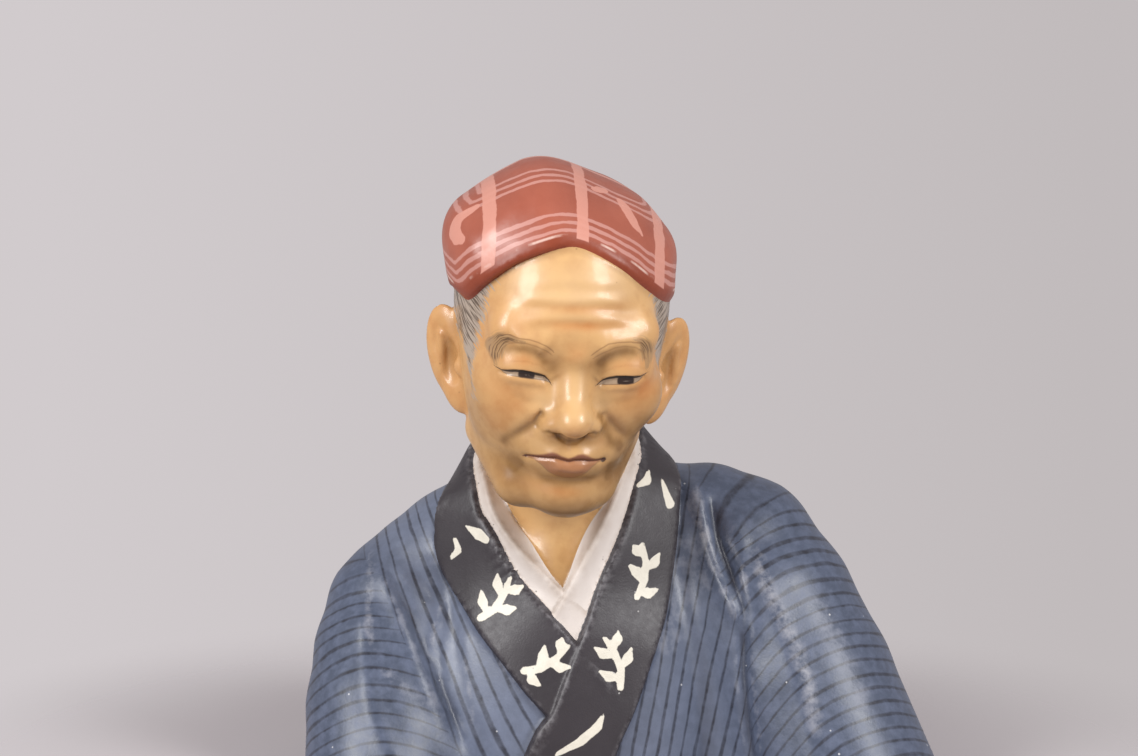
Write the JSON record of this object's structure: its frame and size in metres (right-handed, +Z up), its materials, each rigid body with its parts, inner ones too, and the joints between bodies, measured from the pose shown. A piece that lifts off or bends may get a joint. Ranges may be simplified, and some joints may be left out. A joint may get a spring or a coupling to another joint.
{
  "type": "painted clay doll bust",
  "caption": "Painted clay doll bust of an old tradesman, head bowed, in a knotted check headcloth, crossed dark collar and striped jacket, cut flat below.",
  "frame": {"origin": "middle of the flat underside, under the neck", "axes": "+Z up, the face looks toward -Y, the figure's left sleeve is toward +X"},
  "size_m": [0.1376, 0.0856, 0.135],
  "materials": {
    "painted_clay": "matt paint over fired clay, with a soft sheen on the face"
  },
  "bodies": {
    "root": {"doll_bust": "painted_clay"}
  },
  "joints": []
}
